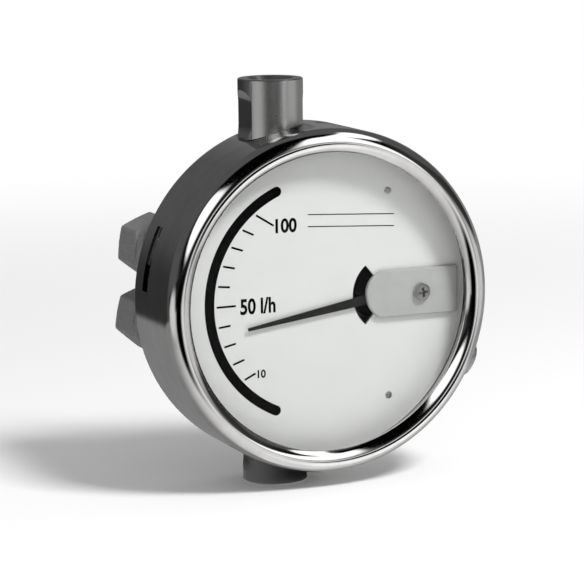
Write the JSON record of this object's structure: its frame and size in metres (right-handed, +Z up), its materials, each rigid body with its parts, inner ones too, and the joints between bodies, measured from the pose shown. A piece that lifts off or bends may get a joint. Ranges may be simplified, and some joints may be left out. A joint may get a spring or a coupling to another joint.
{
  "type": "rotameter",
  "caption": "Compact metal rotameter: a round dial case on a vertical threaded meter tube, with a float, a pointer and two cable glands at the rear.",
  "frame": {"origin": "mouth of the lower port, on the meter tube's axis", "axes": "+Z up along the meter tube, the way the medium flows; -Y out of the dial; +X to the reader's right"},
  "size_m": [0.106, 0.0557, 0.125],
  "materials": {
    "tube_steel": "fine turned",
    "inner_steel": "machined",
    "case_steel": "polished",
    "bezel_steel": "polished",
    "magnet": "sintered",
    "seal_rubber": "matte",
    "window_glass": "clear",
    "screw_steel": "bright",
    "dial_white": "satin",
    "carrier_sheet": "rolled",
    "bridge_sheet": "anodised",
    "pointer_black": "matte",
    "brass": "turned",
    "holder": "turned",
    "gland_plastic": "satin",
    "board": "laminate",
    "terminal": "moulded"
  },
  "bodies": {
    "housing": {"bearing_bracket": "carrier_sheet", "bezel": "bezel_steel", "bezel_lock_screw": "screw_steel", "board_pillars": "brass", "board_screws": "screw_steel", "bracket_screws": "screw_steel", "bridge": "bridge_sheet", "bridge_post": "carrier_sheet", "bridge_screw": "screw_steel", "case": "case_steel", "case_seal": "seal_rubber", "dial": "dial_white", "dial_carrier": "carrier_sheet", "dial_rivets": "screw_steel", "front_bearing": "brass", "lower_float_stop": "inner_steel", "lower_gland_body": "gland_plastic", "lower_gland_nut": "gland_plastic", "lower_gland_seal": "seal_rubber", "lower_gland_washer": "seal_rubber", "lower_saddle": "inner_steel", "lower_saddle_screws": "screw_steel", "lower_stop_ring": "inner_steel", "meter_tube": "tube_steel", "rear_bearing": "brass", "terminal_block": "terminal", "terminal_board": "board", "upper_float_stop": "inner_steel", "upper_gland_body": "gland_plastic", "upper_gland_nut": "gland_plastic", "upper_gland_seal": "seal_rubber", "upper_gland_washer": "seal_rubber", "upper_saddle": "inner_steel", "upper_saddle_screws": "screw_steel", "upper_stop_ring": "inner_steel", "window": "window_glass", "window_gasket": "seal_rubber", "window_snap_ring": "inner_steel"},
    "float": {"float_body": "inner_steel", "float_magnet": "magnet", "float_plug": "inner_steel"},
    "pointer": {"pointer": "pointer_black", "balance_weight": "brass", "pointer_axle": "inner_steel", "pointer_hub": "brass", "magnet_holder": "holder", "follower_magnet": "magnet"}
  },
  "joints": [
    {"name": "float_slide", "type": "slide", "parent": "housing", "child": "float", "axis": [0, 0, 1], "range_m": [-0.0144, 0.0256]},
    {"name": "pointer_turn", "type": "hinge", "parent": "housing", "child": "pointer", "pos_m": [0.0334, 0, 0.0577], "axis": [0, 1, 0], "range_deg": [-22.94, 40.78]}
  ],
  "couplings": [
    {"joint": "pointer_turn", "follows": "float_slide", "rad_per_m": 27.794}
  ]
}
